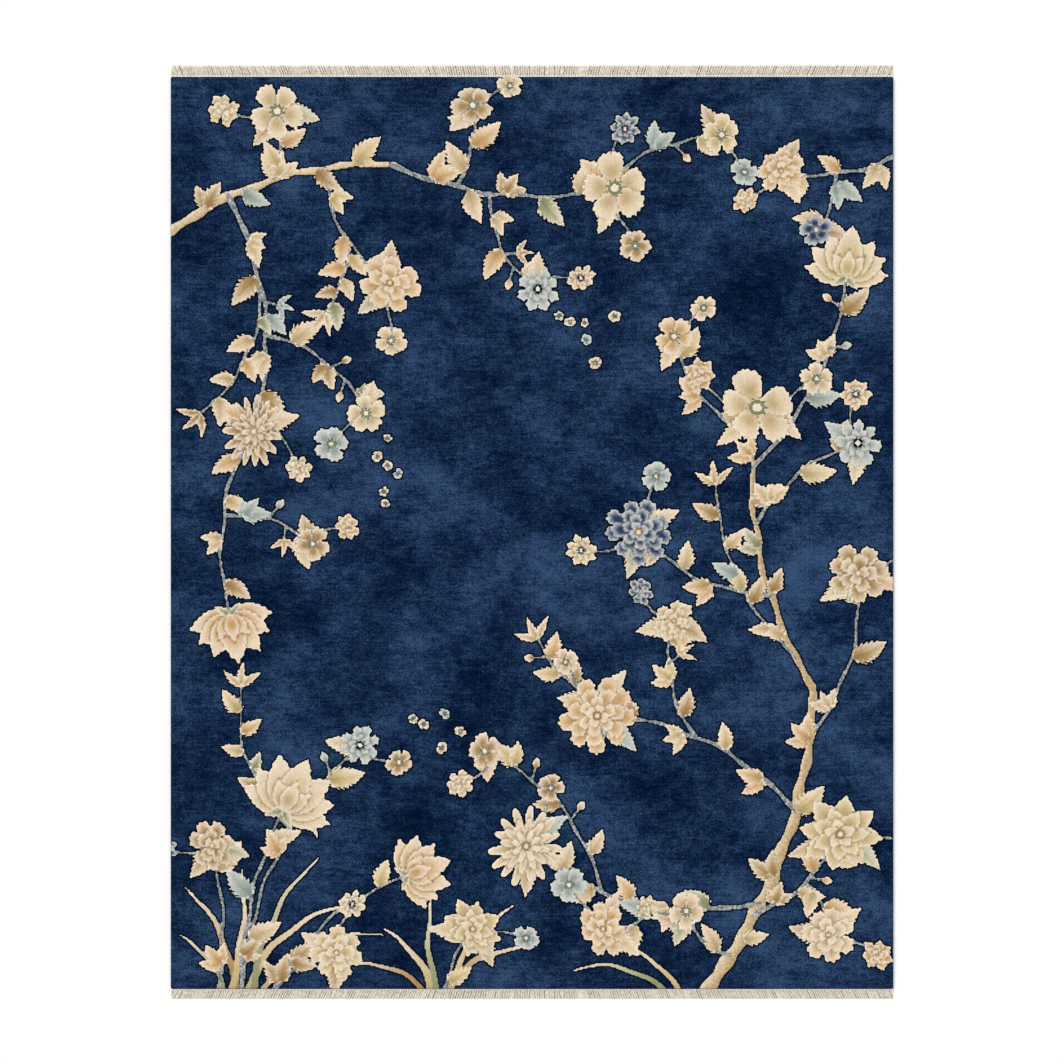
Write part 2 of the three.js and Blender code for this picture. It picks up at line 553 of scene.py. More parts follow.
def curve(root, tip, bow, steps=STEM_STEPS):
    """Points of a bowed and slightly wavering line from its root to its tip"""
    share = np.linspace(0, 1, steps + 1)[:, None]
    root = np.array(root)
    tip = np.array(tip)
    across = np.array((root[1] - tip[1], tip[0] - root[0]))
    span = hypot(*across)
    middle = (root + tip) / 2 + bow * across
    line = (1 - share) ** 2 * root + 2 * share * (1 - share) * middle + share ** 2 * tip
    waver = np.sin(share * span * STEM_WAVER_RATE + root[0] * STEM_WAVER_START) * np.sin(pi * share)
    return line + STEM_WAVER * waver * across / span


def heading(line, at, ahead=2):
    """Which way a line runs at one of its points"""
    at = min(at, len(line) - 1 - ahead)
    east, north = line[at + ahead] - line[at]
    return atan2(north, east)


def end_heading(line):
    return heading(line, STEM_STEPS, END_STEPS)


BLADE_STEPS = 160
BLADE_THINNING = 0.7
BLADE_TIP_KNOTS = 0.45
BLADE_ROOT_LIGHT = 0.1
BLADE_RELIEF = 0.7


def tie_blade(chart, root, tip, bow, width, yarn):
    """A long blade of grass that thins and pales towards its tip"""
    line = curve(root, tip, bow, BLADE_STEPS)
    for share, point in zip(np.linspace(0, 1, len(line)), line):
        radius = width / 2 * (1 - share) ** BLADE_THINNING + chart.knot * BLADE_TIP_KNOTS
        light = BLADE_ROOT_LIGHT + (1 - BLADE_ROOT_LIGHT) * share
        tie_disc(chart, point, radius, yarn, lit(light), BLADE_RELIEF)


STEM_TAPER = 0.45
STEM_RELIEF = 0.75
STEPS_PER_KNOT = 1.5
KNOBBLE = 0.18
KNOBBLE_RATE = 60
THINNEST_KNOTS = 0.8
BARK_SPECKLE = 0.8
BARK_LOSS = 0.05
TRUNK_WIDTH = 0.018
TRUNK_LIGHT = 0.2
TRUNK_SHADING = 0.5


def tie_stem(chart, line, width, dye):
    """A speckled, slightly knobbly stem along a line, lit from one side where it is thick"""
    steps = np.hypot(*np.diff(line, axis=0).T)
    travelled = np.concatenate(([0], np.cumsum(steps)))
    count = int(travelled[-1] / chart.knot * STEPS_PER_KNOT) + 2
    for share in np.linspace(0, 1, count):
        reach = share * travelled[-1]
        point = [np.interp(reach, travelled, line[:, axis]) for axis in range(2)]
        radius = width / 2 * (1 - STEM_TAPER * share) * (1 + KNOBBLE * sin(KNOBBLE_RATE * reach))
        radius = max(radius, chart.knot * THINNEST_KNOTS)
        patch = chart.patch(point, radius + chart.knot)
        light = BARK_SPECKLE * chart.speckle[patch.rows, patch.columns] - BARK_LOSS
        if width > TRUNK_WIDTH:
            facing = (patch.north - patch.east) / (2 * radius)
            light = TRUNK_LIGHT + TRUNK_SHADING * (light + facing)
        inside = np.hypot(patch.east, patch.north) < radius
        chart.tie(patch, inside, Yarn(BRANCH, dye), lit(light), STEM_RELIEF)


# The sprays: where each branch grows from, where it ends and what it bears.
# A branch grows from a root at the rug's edge, or from a share of the way along another.
ROOTS = {
    "south_east": (0.58, -1.56),
    "north_west": (-1.24, 1.00),
    "north_east": (1.24, 1.28),
    "clump_left": (-1.06, -1.56),
    "clump_middle": (-0.98, -1.56),
    "clump_right": (-0.88, -1.56),
    "tuft": (-0.30, -1.56),
}
Branch = namedtuple("Branch", "name parent at east north bow width flower size dye leaves buds mates")
BRANCHES = [Branch(*row) for row in (
    ("tree", "south_east", 0, 0.95, -0.52, -0.16, 0.044, None, 0, "ivory", 4, 0, 0),
    ("crown", "tree", 0.99, 0.76, 0.42, 0.18, 0.022, "mallow", 0.27, "ivory", 5, 3, 2),
    ("top", "crown", 0.80, 1.06, 0.86, -0.18, 0.013, "cup", 0.24, "straw", 4, 3, 0),
    ("inner", "crown", 0.35, 0.36, 0.00, 0.22, 0.013, "peony", 0.24, "blue", 4, 3, 2),
    ("bough", "tree", 0.62, 0.22, -0.62, -0.22, 0.015, "peony", 0.27, "peach", 4, 1, 1),
    ("bough_twig", "bough", 0.55, 0.48, -0.30, 0.25, 0.011, "rose", 0.16, "straw", 3, 3, 1),
    ("low", "tree", 0.32, -0.02, -1.06, 0.24, 0.015, "aster", 0.27, "ivory", 5, 1, 1),
    ("low_twig", "low", 0.65, -0.16, -0.74, -0.25, 0.011, "plum", 0.13, "gold", 3, 4, 1),
    ("side", "tree", 0.85, 1.10, -0.14, -0.20, 0.012, "rose", 0.21, "gold", 3, 1, 1),
    ("edge", "crown", 0.60, 1.10, 0.30, 0.20, 0.012, "daisy", 0.17, "powder", 3, 2, 1),
    ("foot", "tree", 0.28, 1.04, -1.02, -0.20, 0.015, "star", 0.29, "straw", 4, 2, 1),
    ("foot_twig", "foot", 0.50, 1.00, -1.36, 0.30, 0.011, "rose", 0.19, "ivory", 3, 2, 1),
    ("hem", "low", 0.40, 0.24, -1.34, 0.20, 0.011, "rose", 0.20, "peach", 3, 1, 1),
    ("hem_twig", "tree", 0.14, 0.52, -1.28, 0.30, 0.011, "plum", 0.14, "ivory", 2, 1, 1),
    ("crown_twig", "crown", 0.90, 0.48, 0.66, 0.25, 0.011, "plum", 0.14, "peach", 3, 3, 1),
    ("arm", "north_west", 0, -0.46, 1.24, 0.18, 0.030, None, 0, "ivory", 5, 0, 0),
    ("garland", "arm", 0.98, 0.28, 1.16, -0.16, 0.017, "mallow", 0.24, "ivory", 5, 3, 2),
    ("trail", "arm", 0.30, -0.94, 0.34, 0.20, 0.017, "aster", 0.25, "gold", 5, 3, 1),
    ("trail_twig", "trail", 0.60, -0.56, 0.40, 0.25, 0.012, "plum", 0.14, "ivory", 3, 4, 1),
    ("trail_end", "trail", 0.96, -1.02, -0.28, -0.20, 0.013, "cup", 0.24, "peach", 4, 2, 0),
    ("end_twig", "trail_end", 0.50, -0.74, -0.04, 0.20, 0.011, "plum", 0.12, "gold", 2, 3, 1),
    ("drop", "arm", 0.72, -0.48, 0.84, -0.25, 0.013, "rose", 0.22, "peach", 3, 2, 1),
    ("garland_drop", "garland", 0.45, 0.02, 0.82, -0.25, 0.011, "daisy", 0.15, "powder", 3, 4, 1),
    ("garland_end", "garland", 0.92, 0.64, 1.34, 0.20, 0.011, "plum", 0.15, "straw", 3, 3, 1),
    ("arm_twig", "arm", 0.50, -0.86, 1.42, -0.20, 0.012, "mallow", 0.20, "ivory", 3, 1, 1),
    ("garland_twig", "garland", 0.30, -0.20, 1.44, -0.20, 0.011, "plum", 0.15, "gold", 3, 1, 1),
    ("tall", "clump_middle", 0, -0.84, -0.94, 0.12, 0.013, "cup", 0.28, "ivory", 3, 0, 0),
    ("leaning", "clump_right", 0, -0.42, -1.16, 0.20, 0.012, "cup", 0.22, "peach", 2, 1, 0),
    ("outer", "clump_left", 0, -1.08, -1.06, -0.10, 0.012, "rose", 0.18, "gold", 2, 1, 1),
    ("reaching", "clump_middle", 0, -0.58, -0.72, 0.20, 0.011, "daisy", 0.14, "powder", 3, 3, 1),
    ("lowest", "clump_right", 0, -0.66, -1.42, 0.20, 0.011, "rose", 0.19, "straw", 2, 2, 1),
    ("tuft", "tuft", 0, -0.20, -1.34, 0.10, 0.011, "star", 0.22, "straw", 2, 2, 1),
    ("west_spray", "trail", 0.40, -1.12, 0.40, 0.25, 0.010, None, 0, "ivory", 5, 0, 0),
    ("heart_spray", "bough", 0.80, 0.02, -0.36, 0.25, 0.010, None, 0, "ivory", 6, 1, 0),
    ("tall_spray", "reaching", 0.62, -0.98, -0.52, 0.25, 0.010, None, 0, "ivory", 6, 1, 0),
    ("crown_spray", "crown", 0.12, 0.62, 0.16, 0.20, 0.010, None, 0, "ivory", 5, 0, 0),
    ("drop_spray", "drop", 0.55, -0.70, 0.74, 0.20, 0.010, None, 0, "ivory", 5, 1, 0),
    ("corner", "north_east", 0, 0.84, 1.22, 0.20, 0.014, "rose", 0.17, "peach", 3, 2, 1),
    ("corner_twig", "corner", 0.55, 0.96, 1.02, 0.20, 0.011, "plum", 0.12, "blue", 2, 3, 0),
)]
Blade = namedtuple("Blade", "root_east tip_east tip_north bow width dye")
BLADE_ROOT_NORTH = -1.56
BLADES = [Blade(*row) for row in (
    (-1.00, -1.17, -1.20, -0.20, 0.022, "gold"),
    (-0.96, -0.62, -1.26, 0.30, 0.024, "ivory"),
    (-0.94, -0.72, -1.10, 0.20, 0.020, "sage"),
    (-1.02, -0.98, -1.14, -0.10, 0.020, "ivory"),
    (-0.30, -0.02, -1.40, 0.25, 0.022, "gold"),
    (-0.34, -0.50, -1.34, -0.25, 0.022, "ivory"),
    (-0.32, -0.34, -1.22, 0.10, 0.018, "sage"),
    (-0.28, -0.06, -1.26, 0.20, 0.018, "ivory"),
    (-0.92, -0.50, -1.36, 0.30, 0.014, "ivory"),
    (-1.04, -1.19, -1.36, -0.25, 0.014, "sage"),
    (-0.36, -0.62, -1.46, -0.30, 0.014, "gold"),
    (0.50, 0.30, -1.40, -0.25, 0.014, "ivory"),
    (0.46, 0.14, -1.48, -0.30, 0.014, "sage"),
)]

# What repeats along the branches, dealt out in turn
LEAF_DYES = ("ivory", "gold", "straw", "peach", "ivory", "gold", "sage", "ivory",
             "peach", "straw", "ivory", "gold", "powder")
MATE_FORMS = ("plum", "rose", "plum", "daisy", "plum", "rose")
MATE_DYES = ("ivory", "peach", "powder", "straw", "ivory", "blue", "gold", "ivory", "powder", "peach")
DRIFT_DYES = ("ivory", "peach", "powder", "ivory", "gold")
LEAF_FANS = ((0.0,), (0.45, -0.45), (0.0,), (0.8, -0.8, 0.0), (0.0,))

# Leaves: places are steps along the branch's line, and spreads are angles off its heading
FIRST_LEAF_AT = 20
LAST_LEAF_AT = 84
LEAF_SPREAD = 0.85
LEAF_SPREAD_JITTER = 0.4
MOST_LEAF = 0.112
SPRAY_LEAF = 0.084
LEAF_JITTER = 0.04
LEAF_WIDTH = 0.60
LEAF_CURL = 0.1
FAN_SHORTENING = 0.3
BACKING_SPREADS = (2.3, -1.9)
BACKING_SPREAD_JITTER = 0.5
BACKING_LEAF = 0.050
BACKING_LEAF_SHARE = 0.48
BACKING_JITTER = 0.02
BACKING_WIDTH = 0.060
BACKING_WIDTH_SHARE = 0.1
BACKING_CURL = 0.08

# Buds and sprigs, and the tiny blossoms that drift off
BUD = Ring(1, 0.0, 1.0, 0.72, 0.0, pointed_tip, 0.2, 0.0)
BUD_LENGTH = 0.036
BUD_STALK_LENGTH = 0.045
BUD_STALK = 0.008
BUD_SPREAD = 1.1
LAST_BUD_AT = 86
BUD_RANGE = 60
SPRIG_EVERY = 3
SPRIG_LENGTH = 0.062
DRIFT_FROM_BUDS = 4
DRIFT_BUDS = 6
DRIFT_STEP = 0.040
DRIFT_SPREAD = 0.9
DRIFT_SIZE = 0.040
DRIFT_SIZE_JITTER = 0.016

# Companion blossoms
MATE_STALK = 0.009
MATE_STALK_AT = -8
MATE_STALK_BOW = 0.1
MATE_SIZE = 0.105
MATE_SIZE_JITTER = 0.04
MATE_SPREAD = 1.15
MATE_SPREAD_JITTER = 0.5
MATE_REACH = 0.55
MATE_GAP = 0.01

FLOWER_TURN = 0.3


def dealt(cards, count):
    return cards[count % len(cards)]


def leaf_yarn(count):
    return Yarn(LEAF, dealt(LEAF_DYES, count))


def grown_branches():
    """Each branch with its line, grown from its root or from its parent's line"""
    lines = {}
    for branch in BRANCHES:
        if branch.parent in lines:
            root = lines[branch.parent][round(branch.at * STEM_STEPS)]
        else:
            root = ROOTS[branch.parent]
        lines[branch.name] = curve(root, (branch.east, branch.north), branch.bow)
    return [(branch, lines[branch.name]) for branch in BRANCHES]


def tie_stems(chart, branches):
    for branch, line in branches:
        tie_stem(chart, line, branch.width, "ivory" if branch.width > TRUNK_WIDTH else "bark")


def tie_leaves(chart, branches):
    """Leaves in ones, twos and threes along every branch, and one or two behind each open flower"""
    count = 0
    for number, (branch, line) in enumerate(branches):
        spray = branch.flower is None and branch.width < TRUNK_WIDTH
        for place in np.linspace(FIRST_LEAF_AT, LAST_LEAF_AT, branch.leaves).astype(int):
            side = 1 if (count + number) % 2 else -1
            turn = heading(line, place) + side * (LEAF_SPREAD + chart.jitter(LEAF_SPREAD_JITTER))
            fan = LEAF_FANS[0] if spray else dealt(LEAF_FANS, count)
            for spread in fan:
                length = SPRAY_LEAF if spray else MOST_LEAF / len(fan) ** FAN_SHORTENING
                length += chart.jitter(LEAF_JITTER)
                width = length * LEAF_WIDTH
                yarn = leaf_yarn(count)
                tie_leaf(chart, line[place], turn + spread, length, width, yarn, LEAF_CURL * side)
            count += 1
        end = end_heading(line)
        if spray:
            tie_sprig(chart, line[-1], end, SPRAY_LEAF, leaf_yarn(count))
        if branch.flower in FLOWERS:
            behind = BACKING_SPREADS if branch.size > LARGE_FLOWER else BACKING_SPREADS[:1]
            for spread in behind:
                length = BACKING_LEAF + BACKING_LEAF_SHARE * branch.size + chart.jitter(BACKING_JITTER)
                width = BACKING_WIDTH + BACKING_WIDTH_SHARE * branch.size
                turn = end + spread + chart.jitter(BACKING_SPREAD_JITTER)
                tie_leaf(chart, line[-1], turn, length, width, leaf_yarn(count), BACKING_CURL)
                count += 1


def is_bare(chart, place):
    """True if nothing but field lies within a bud's reach of a place"""
    patch = chart.patch(place, BUD_LENGTH / 2)
    return not chart.family[patch.rows, patch.columns].any()


def tie_buds(chart, branches):
    """Buds and sprigs on short stalks, with tiny blossoms drifting off the ends that bear many"""
    count = 0
    for branch, line in branches:
        for bud in range(branch.buds):
            place = LAST_BUD_AT - round(BUD_RANGE * bud / branch.buds)
            turn = heading(line, place) + (-BUD_SPREAD if bud % 2 else BUD_SPREAD)
            end = moved(line[place], turn, BUD_STALK_LENGTH)
            if is_bare(chart, end):
                tie_stem(chart, np.array((line[place], end)), BUD_STALK, "bark")
                count += 1
                if count % SPRIG_EVERY:
                    yarn = Yarn(BLOSSOM, dealt(DRIFT_DYES, count))
                    tie_petal(chart, end, turn, BUD, BUD_LENGTH, yarn)
                else:
                    tie_sprig(chart, end, turn, SPRIG_LENGTH, leaf_yarn(count))
        if branch.buds >= DRIFT_FROM_BUDS:
            way = end_heading(line)
            for number in range(1, DRIFT_BUDS + 1):
                distance = branch.size / 2 + number * DRIFT_STEP
                loose = moved(line[-1], way + chart.jitter(DRIFT_SPREAD), distance)
                if is_bare(chart, loose):
                    size = DRIFT_SIZE + chart.jitter(DRIFT_SIZE_JITTER)
                    yarn = Yarn(BLOSSOM, dealt(DRIFT_DYES, count))
                    tie_flower(chart, loose, "plum", size, way + number, yarn)
                    count += 1


def tie_mates(chart, branches):
    """Small companion blossoms beside the flowers at the branches' ends"""
    count = 0
    for branch, line in branches:
        for _ in range(branch.mates):
            side = 1 if count % 2 else -1
            size = MATE_SIZE + chart.jitter(MATE_SIZE_JITTER)
            turn = end_heading(line) + side * (MATE_SPREAD + chart.jitter(MATE_SPREAD_JITTER))
            place = moved(line[-1], turn, (branch.size + size) * MATE_REACH + MATE_GAP)
            tie_stem(chart, curve(line[MATE_STALK_AT], place, MATE_STALK_BOW), MATE_STALK, "bark")
            yarn = Yarn(BLOSSOM, dealt(MATE_DYES, count))
            tie_flower(chart, place, dealt(MATE_FORMS, count), size, turn, yarn)
            count += 1


def tie_flowers(chart, branches):
    for branch, line in branches:
        way = end_heading(line)
        yarn = Yarn(FLOWER if branch.size > LARGE_FLOWER else BLOSSOM, branch.dye)
        if branch.flower == "cup":
            tie_cup(chart, line[-1], branch.size, way, yarn)
        elif branch.flower:
            tie_flower(chart, line[-1], branch.flower, branch.size, way + FLOWER_TURN, yarn)


@functools.lru_cache
def charted(knot):
    """The finished chart of the rug's pile, worked out once for each knot spacing"""
    chart = Chart(PILE_LOW, PILE_HIGH, knot)
    for blade in BLADES:
        root = blade.root_east, BLADE_ROOT_NORTH
        tip = blade.tip_east, blade.tip_north
        tie_blade(chart, root, tip, blade.bow, blade.width, Yarn(LEAF, blade.dye))
    branches = grown_branches()
    for tie in (tie_stems, tie_leaves, tie_mates, tie_buds, tie_flowers):
        tie(chart, branches)
    fill_pinholes(chart)
    tie_groove_shade(chart)
    chart.aside = drawn_corners(chart)
    return chart


def knot_colours(chart, dyes, mask):
    """The linear colours of the masked knots, with each one's own speckle"""
    tones = [shade.tone for shade in SHADES]
    colours = np.zeros(mask.shape + (3,))
    for number, name in enumerate(DYES):
        pure = np.array(getattr(dyes, name))
        pale = np.array(dyes.frost if name in COOL_DYES else dyes.cream)
        steps = []
        for shade in SHADES:
            deeper = shade.strength * pure ** (1 + DARKENING_WARMTH * (1 - shade.strength))
            steps.append(deeper + shade.pale * (pale - deeper))
        steps = np.array(steps)
        at = mask & (chart.dye == number)
        for channel in range(3):
            colours[at, channel] = np.interp(chart.tone[at], tones, steps[:, channel])
    speckle = 1 + SPECKLE_STRENGTH * (chart.speckle - 0.5)
    return np.clip(colours * speckle[..., None], 0, 1)


# A cell's corners in order round it: rows up from it, and columns along from it
CELL_CORNERS = ((0, 0), (0, 1), (1, 1), (1, 0))


def blended_corners(chart, colours, mask):
    """The masked knots' colours at their four corners, blended with knots of the same dye there"""
    rows, columns = mask.shape
    blended = np.zeros((rows, columns, 4, 3))
    for number in np.unique(chart.dye[mask]):
        like = mask & (chart.dye == number)
        share = np.concatenate((colours, np.ones_like(colours[..., :1])), -1) * like[..., None]
        total = np.zeros((rows + 1, columns + 1, 4))
        for up, along in CELL_CORNERS:
            total[up:up + rows, along:along + columns] += share
        for corner, (up, along) in enumerate(CELL_CORNERS):
            at_corner = total[up:up + rows, along:along + columns][like]
            blended[like, corner] = at_corner[:, :3] / at_corner[:, 3:]
    return blended[mask]


# Meshes from arrays

# Where a closed relief's upper side, and its lower side with the walls, lie in the baked map
UPPER_BAND = (0.0, 0.80)
LOWER_BAND = (0.82, 1.0)
BAKE_MAP = "OFBake"
WALL_MAP_INSET = 0.4
PARTING_SHARE = 0.1
# The stored colours hold the yarns' dyes, and also the painted shade of the carved grooves and of the sunk
# strands
YARN_AND_SHADE_COLOUR = "yarn_and_shade_colour"

Relief = namedtuple("Relief", "points faces map_points owners")


def baked_place(points, band):
    """Places in the baked map: along the rug, and across it within a band"""
    along = (points[..., 1] - PILE_LOW.y) / PILE_LENGTH
    across = (PILE_HIGH.x - points[..., 0]) / PILE_WIDTH
    return np.stack((along, band[0] + across * (band[1] - band[0])), -1)


def part_corners(corners, points, mask):
    """Gives a cell its own copy of a corner at which alone it touches a cell below it.

    The copy lies a little nearer to the cell's middle."""
    row, column = np.nonzero(mask)
    padded = np.pad(mask, 1)
    middle = points[corners].mean(1)
    for corner, step in ((0, -1), (1, 1)):
        beside = padded[row + 1, column + 1 + step]
        below = padded[row, column + 1]
        alone = padded[row, column + 1 + step] & ~beside & ~below
        old = points[corners[alone, corner]]
        corners[alone, corner] = len(points) + np.arange(len(old))
        points = np.concatenate((points, old + PARTING_SHARE * (middle[alone] - old)))
    return points


def closed_relief(east, north, top, bottom, mask):
    """A closed solid over the masked cells of a lattice: upper and lower faces, and walls round them.

    The owners tell which masked cell each face belongs to."""
    number = np.arange(east.size).reshape(east.shape)
    row, column = np.nonzero(mask)
    corners = np.stack([number[row + up, column + along] for up, along in CELL_CORNERS], -1)
    points = np.stack((east, north, top, np.broadcast_to(bottom, east.shape)), -1).reshape(-1, 4)
    points = part_corners(corners, points, mask)
    used, corners = np.unique(corners, return_inverse=True)
    corners = corners.reshape(-1, 4)
    count = len(used)
    points = np.concatenate((points[used][:, (0, 1, 2)], points[used][:, (0, 1, 3)]))
    cells = np.arange(len(row))
    faces = [corners, corners[:, ::-1] + count]
    owners = [cells, cells]
    maps = [
        baked_place(points[corners], UPPER_BAND),
        baked_place(points[corners[:, ::-1]], LOWER_BAND),
    ]
    outside = ~np.pad(mask, 1)
    neighbours = ((-1, 0), (0, 1), (1, 0), (0, -1))
    for side, (up, along) in enumerate(neighbours):
        open_side = outside[row + 1 + up, column + 1 + along]
        start = corners[open_side, side]
        end = corners[open_side, (side + 1) % 4]
        middle = points[corners[open_side]].mean(1)
        faces.append(np.stack((end, start, start + count, end + count), -1))
        owners.append(cells[open_side])
        rim = np.stack((points[end], points[start], points[start], points[end]), 1)
        inward = np.array((0, 0, WALL_MAP_INSET, WALL_MAP_INSET))[None, :, None]
        maps.append(baked_place(rim + inward * (middle[:, None] - rim), LOWER_BAND))
    return Relief(points, np.concatenate(faces), np.concatenate(maps), np.concatenate(owners))


def placed(name, data):
    """A new object in the scene"""
    thing = bpy.data.objects.new(name, data)
    bpy.context.scene.collection.objects.link(thing)
    return thing


def mesh_object(name, points, faces, map_points, material):
    """An object from arrays of points, four-sided faces and places in the baked map"""
    triangles = 2 * len(faces)
    if triangles >= MOST_TRIANGLES:
        raise RuntimeError(f"{name} has {triangles} triangles, and a piece stays under {MOST_TRIANGLES}")
    mesh = bpy.data.meshes.new(name)
    mesh.vertices.add(len(points))
    mesh.vertices.foreach_set("co", points.ravel())
    mesh.loops.add(faces.size)
    mesh.loops.foreach_set("vertex_index", faces.ravel())
    mesh.polygons.add(len(faces))
    mesh.polygons.foreach_set("loop_start", np.arange(0, faces.size, 4))
    mesh.polygons.foreach_set("use_smooth", np.ones(len(faces), bool))
    bake = mesh.uv_layers.new(name=BAKE_MAP)
    bake.uv.foreach_set("vector", map_points.astype(np.float32).ravel())
    mesh.update()
    if mesh.validate():
        raise RuntimeError(f"{name} has faces that Blender had to mend")
    mesh.materials.append(material)
    piece = placed(name, mesh)
    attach(piece, "root")
    return piece


def paint(piece, colours):
    """Stores a colour for each corner of each face"""
    store = piece.data.attributes.new(YARN_AND_SHADE_COLOUR, "FLOAT_COLOR", "CORNER")
    colours = np.broadcast_to(colours, (len(piece.data.polygons), 4, 3)).reshape(-1, 3)
    opaque = np.concatenate((colours, np.ones((len(colours), 1))), 1)
    store.data.foreach_set("color", opaque.astype(np.float32).ravel())


# The pile's upper face

# How far in from the pile's edge the lattice lines run that round it off
EDGE_STEPS = (0.0, 0.0004, 0.0011, 0.0022, 0.0038, 0.006)
FIELD_STEP = 0.02
MOTIF_EDGE_INSET = 0.0012
MOTIF_ROOT_DEPTH = 0.0015

# The swell's two waves: radians a metre, east and north
Wave = namedtuple("Wave", "east north")
LONG_WAVE = Wave(2.3, 1.1)
CROSS_WAVE = Wave(-0.7, 1.9)


def pile_top(east, north, sizes):
    """Height of the plain field: a slow swell that rounds off at the edges"""
    inward_east = np.minimum(east - PILE_LOW.x, PILE_HIGH.x - east)
    inward_north = np.minimum(north - PILE_LOW.y, PILE_HIGH.y - north)
    short = np.hypot(
        np.clip(sizes.shoulder - inward_east, 0, None), np.clip(sizes.shoulder - inward_north, 0, None)
    )
    drop = sizes.shoulder - np.sqrt(np.clip(sizes.shoulder ** 2 - short ** 2, 0, None))
    swell = np.sin(LONG_WAVE.east * east + LONG_WAVE.north * north)
    swell *= np.cos(CROSS_WAVE.east * east + CROSS_WAVE.north * north)
    return sizes.field_height + sizes.swell * swell - drop


def edged_steps(low, high):
    """Lattice lines that crowd together where the shoulder rounds off"""
    inner = np.linspace(low + EDGE_STEPS[-1], high - EDGE_STEPS[-1], round((high - low) / FIELD_STEP))
    near = low + np.array(EDGE_STEPS[:-1])
    far = high - np.array(EDGE_STEPS[:-1])[::-1]
    return np.concatenate((near, inner, far))


def round_corners(east, north, radius):
    """Draws the lattice's square corners in to quarter circles"""
    past_east = np.clip(np.abs(east) - (PILE_WIDTH / 2 - radius), 0, None) / radius
    middle = (PILE_LOW.y + PILE_HIGH.y) / 2
    past_north = np.clip(np.abs(north - middle) - (PILE_LENGTH / 2 - radius), 0, None) / radius
    in_east = past_east * (1 - np.sqrt(1 - past_north ** 2 / 2)) * radius
    in_north = past_north * (1 - np.sqrt(1 - past_east ** 2 / 2)) * radius
    return east - np.sign(east) * in_east, north - np.sign(north - middle) * in_north


# Node materials

def add_node(tree, kind, inputs=None, **settings):
    """Adds a node, sets what it is, and fills or links its inputs"""
    node = tree.nodes.new(kind)
    for name, value in settings.items():
        setattr(node, name, value)
    for name, value in (inputs or {}).items():
        if isinstance(value, bpy.types.NodeSocket):
            tree.links.new(value, node.inputs[name])
        else:
            node.inputs[name].default_value = value
    return node


def weighed(tree, parts, total=0.0):
    """The sum of sockets, each times its weight, on top of a starting total"""
    for socket, weight in parts:
        node = add_node(tree, "ShaderNodeMath", {0: socket, 1: weight, 2: total}, operation="MULTIPLY_ADD")
        total = node.outputs[0]
    return total


# A noise: its weight in a sum, how fine and how rough it is, and how it is drawn out along the axes
Layer = namedtuple("Layer", "weight scale detail roughness stretch", defaults=(2, 0.5, None))


def noise(tree, place, layer):
    """A noise texture over the object's own coordinates"""
    if layer.stretch:
        drawn_out = {"Vector": place, "Scale": layer.stretch}
        place = add_node(tree, "ShaderNodeMapping", drawn_out).outputs[0]
    inputs = {"Vector": place, "Scale": layer.scale, "Detail": layer.detail, "Roughness": layer.roughness}
    return add_node(tree, "ShaderNodeTexNoise", inputs).outputs[0]


def layered(tree, place, layers):
    """The layers' noises, each with its weight"""
    return [(noise(tree, place, layer), layer.weight) for layer in layers]


def ramp(tree, value, stops):
    """A colour ramp through (position, colour) stops"""
    node = add_node(tree, "ShaderNodeValToRGB", {"Fac": value})
    elements = node.color_ramp.elements
    while len(elements) < len(stops):
        elements.new(0.5)
    for element, (position, colour) in zip(elements, stops):
        element.position = position
        element.color = (*colour, 1)
    return node.outputs[0]


def new_tree(name):
    material = bpy.data.materials.new(name)
    material.use_nodes = True
    material.node_tree.nodes.clear()
    place = material.node_tree.nodes.new("ShaderNodeTexCoord").outputs["Object"]
    return material, material.node_tree, place


CLOTH_SPECULAR = 0.01
CLOTH_SHEEN_ROUGHNESS = 0.5
Cloth = namedtuple("Cloth", "relief roughness sheen")
WOOL = Cloth(relief=0.0016, roughness=0.95, sheen=0.01)
COTTON = Cloth(relief=0.0003, roughness=0.9, sheen=0.08)


def surfaced(material, inputs):
    """The material, finished with a shader that has these inputs"""
    shader = add_node(material.node_tree, "ShaderNodeBsdfPrincipled", inputs)
    add_node(material.node_tree, "ShaderNodeOutputMaterial", {"Surface": shader.outputs[0]})
    return material


def finished_cloth(material, cloth, colour, height):
    """The material, finished as a matte cloth whose tufts or fibres are a fine bump"""
    fibres = {"Height": height, "Distance": cloth.relief, "Strength": 1.0}
    return surfaced(
        material,
        {
            "Base Color": colour,
            "Roughness": cloth.roughness,
            "Specular IOR Level": CLOTH_SPECULAR,
            "Sheen Weight": cloth.sheen,
            "Sheen Roughness": CLOTH_SHEEN_ROUGHNESS,
            "Normal": add_node(material.node_tree, "ShaderNodeBump", fibres).outputs[0],
        },
    )


TUFT_SCATTER = 0.5
BACK_SCATTER = 0.16
TUFT_PEAK = 0.92


def tufts(tree, place, knot, scatter=TUFT_SCATTER):
    """The pile's single tufts, one to a knot of the chart: a height that falls off round each"""
    columns = round(PILE_WIDTH / knot) / PILE_WIDTH
    rows = round(PILE_LENGTH / knot) / PILE_LENGTH
    centred = (1 - scatter) / 2
    counted = {
        "Vector": place,
        "Location": (-PILE_LOW.x * columns - centred, -PILE_LOW.y * rows - centred, 0),
        "Scale": (columns, rows, 1),
    }
    inputs = {
        "Vector": add_node(tree, "ShaderNodeMapping", counted).outputs[0],
        "Scale": 1.0,
        "Randomness": scatter,
    }
    node = add_node(tree, "ShaderNodeTexVoronoi", inputs, voronoi_dimensions="2D")
    return weighed(tree, ((node.outputs["Distance"], -1.0),), TUFT_PEAK)


